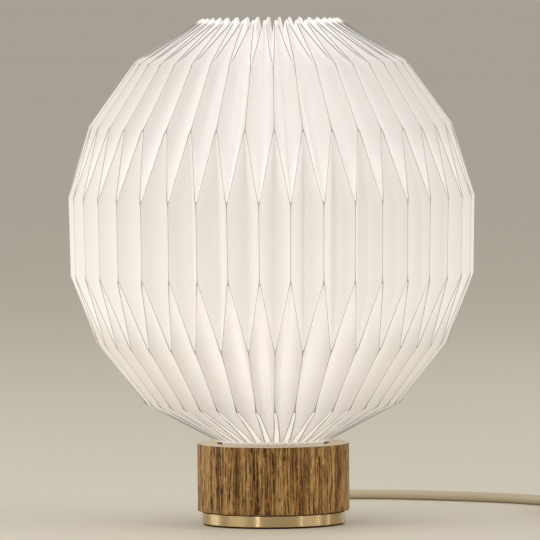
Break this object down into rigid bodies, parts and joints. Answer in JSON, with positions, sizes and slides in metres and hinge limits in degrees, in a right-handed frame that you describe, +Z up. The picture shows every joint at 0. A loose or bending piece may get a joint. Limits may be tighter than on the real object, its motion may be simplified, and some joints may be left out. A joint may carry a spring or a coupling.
{
  "type": "pleated table lamp",
  "caption": "Table lamp with a pleated globe shade on a turned oak ring and brass plate, small lampholder with bulb, mains cord with in-line rocker switch and plug.",
  "frame": {"origin": "centre of the lamp's underside, on the table top", "axes": "+Z up along the lamp's axis, +Y towards the back where the cord leaves, +X to the right in the picture"},
  "size_m": [0.4076, 0.3516, 0.304],
  "materials": {
    "shade_foil": "translucent satin foil, off-white",
    "thread": "white twisted thread",
    "collar": "satin",
    "foot": "matt black",
    "brass": "turned, satin",
    "oak": "oiled open-pored oak",
    "steel": "zinc plated",
    "holder_plastic": "satin white",
    "insulator": "matt dark",
    "contact_brass": "plain",
    "bulb_cap": "rolled",
    "bulb_glass": "satin opal",
    "filament": "phosphor",
    "cord_sheath": "beige satin sheath",
    "cord_plastic": "beige satin",
    "core_brown": "brown insulation",
    "core_blue": "blue insulation",
    "tie": "woven hook-and-loop band",
    "pins": "nickel plated"
  },
  "bodies": {
    "base": {"foot_pad": "foot", "brass_base_plate": "brass", "plate_screws": "steel", "oak_base_ring": "oak", "threaded_tube": "steel", "lower_lock_nut": "steel", "lower_washer": "steel", "upper_washer": "steel", "upper_lock_nut": "steel", "holder_cap": "holder_plastic", "holder_shell": "holder_plastic", "terminal_block": "insulator", "holder_terminals": "contact_brass", "terminal_screws": "steel", "centre_contact": "contact_brass", "holder_screw_sleeve": "contact_brass", "cord_bush": "cord_plastic", "cord_inner_end": "cord_sheath", "clamp_base": "insulator", "clamp_saddle": "insulator", "clamp_screws": "steel", "lead_live": "core_brown", "lead_neutral": "core_blue", "cord_lead": "cord_sheath", "cord_middle": "cord_sheath", "cord_coil": "cord_sheath", "cord_tail": "cord_sheath", "cord_ties": "tie", "switch_lower_housing": "cord_plastic", "switch_upper_housing": "cord_plastic", "switch_rocker_pin": "steel", "switch_screws": "steel", "switch_contacts": "contact_brass", "plug_body": "cord_plastic", "plug_pins": "pins"},
    "shade": {"pleated_shade": "shade_foil", "rim_thread": "thread", "shade_collar": "collar"},
    "bulb": {"bulb_glass": "bulb_glass", "bulb_screw_cap": "bulb_cap", "bulb_insulator": "insulator", "bulb_end_contact": "bulb_cap", "bulb_stem": "bulb_glass", "bulb_filaments": "filament"},
    "rocker": {"switch_rocker": "cord_plastic"}
  },
  "joints": [
    {"name": "shade_lift", "type": "slide", "parent": "base", "child": "shade", "axis": [0, 0, 1], "range_m": [0, 0.15]},
    {"name": "bulb_unscrew", "type": "slide", "parent": "base", "child": "bulb", "axis": [0, 0, 1], "range_m": [0, 0.235]},
    {"name": "rocker_press", "type": "hinge", "parent": "base", "child": "rocker", "pos_m": [0.191, 0.052, 0.0128], "axis": [-0.9945, -0.1045, 0], "range_deg": [0, 16]}
  ]
}
